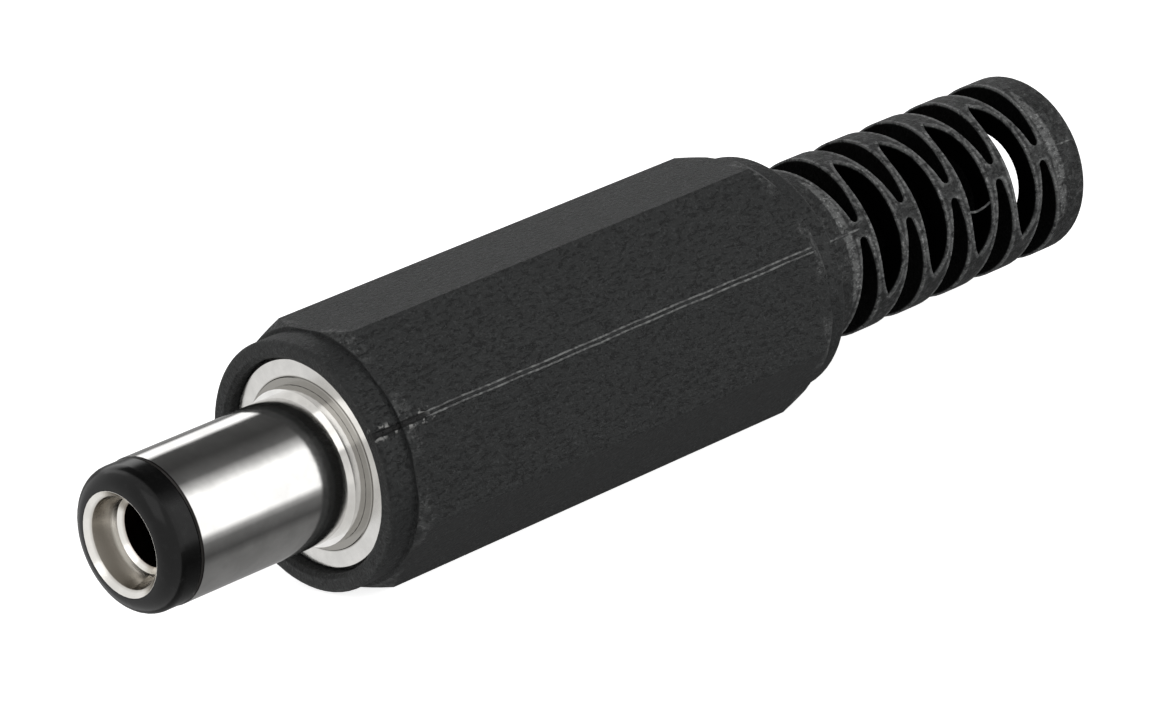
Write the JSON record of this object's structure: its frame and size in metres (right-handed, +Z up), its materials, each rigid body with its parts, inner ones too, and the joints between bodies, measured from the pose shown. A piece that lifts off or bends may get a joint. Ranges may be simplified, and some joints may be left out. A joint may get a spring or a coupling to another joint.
{
  "type": "dc barrel plug",
  "caption": "Straight low-voltage power plug: nickel barrel with a black insulated nose, flanged screw bush, octagonal screw-on grip and a slotted strain-relief boot.",
  "frame": {"origin": "centre of the footprint of the whole plug, on the surface that its lower flat lies on", "axes": "+X along the plug axis from the barrel's nose to the cable boot, +Z up from the flat that it lies on, +Y to the side"},
  "size_m": [0.0464, 0.0096, 0.0096],
  "materials": {
    "grip_plastic": "satin, fine moulded grain",
    "barrel_plating": "polished nickel plating",
    "bush_plating": "turned face, nickel plated",
    "nose_plastic": "gloss",
    "contact_plating": "nickel plated spring contact",
    "washer_fibre": "matt",
    "tag_tin": "tin plated sheet"
  },
  "bodies": {
    "handle": {"handle": "grip_plastic"},
    "carriage": {"insulator": "nose_plastic"},
    "insert": {"barrel": "barrel_plating", "threaded_bush": "bush_plating", "centre_contact": "contact_plating", "rear_washer": "washer_fibre", "centre_tag": "tag_tin", "outer_tag": "tag_tin"}
  },
  "joints": [
    {"name": "plug_travel", "type": "slide", "parent": "handle", "child": "carriage", "axis": [-1, 0, 0], "range_m": [0, 0.005]},
    {"name": "plug_turn", "type": "hinge", "parent": "carriage", "child": "insert", "pos_m": [0, 0, 0.0048], "axis": [-1, 0, 0], "range_deg": [0, 2400]}
  ],
  "couplings": [
    {"joint": "plug_turn", "follows": "plug_travel", "rad_per_m": 8377.5}
  ]
}
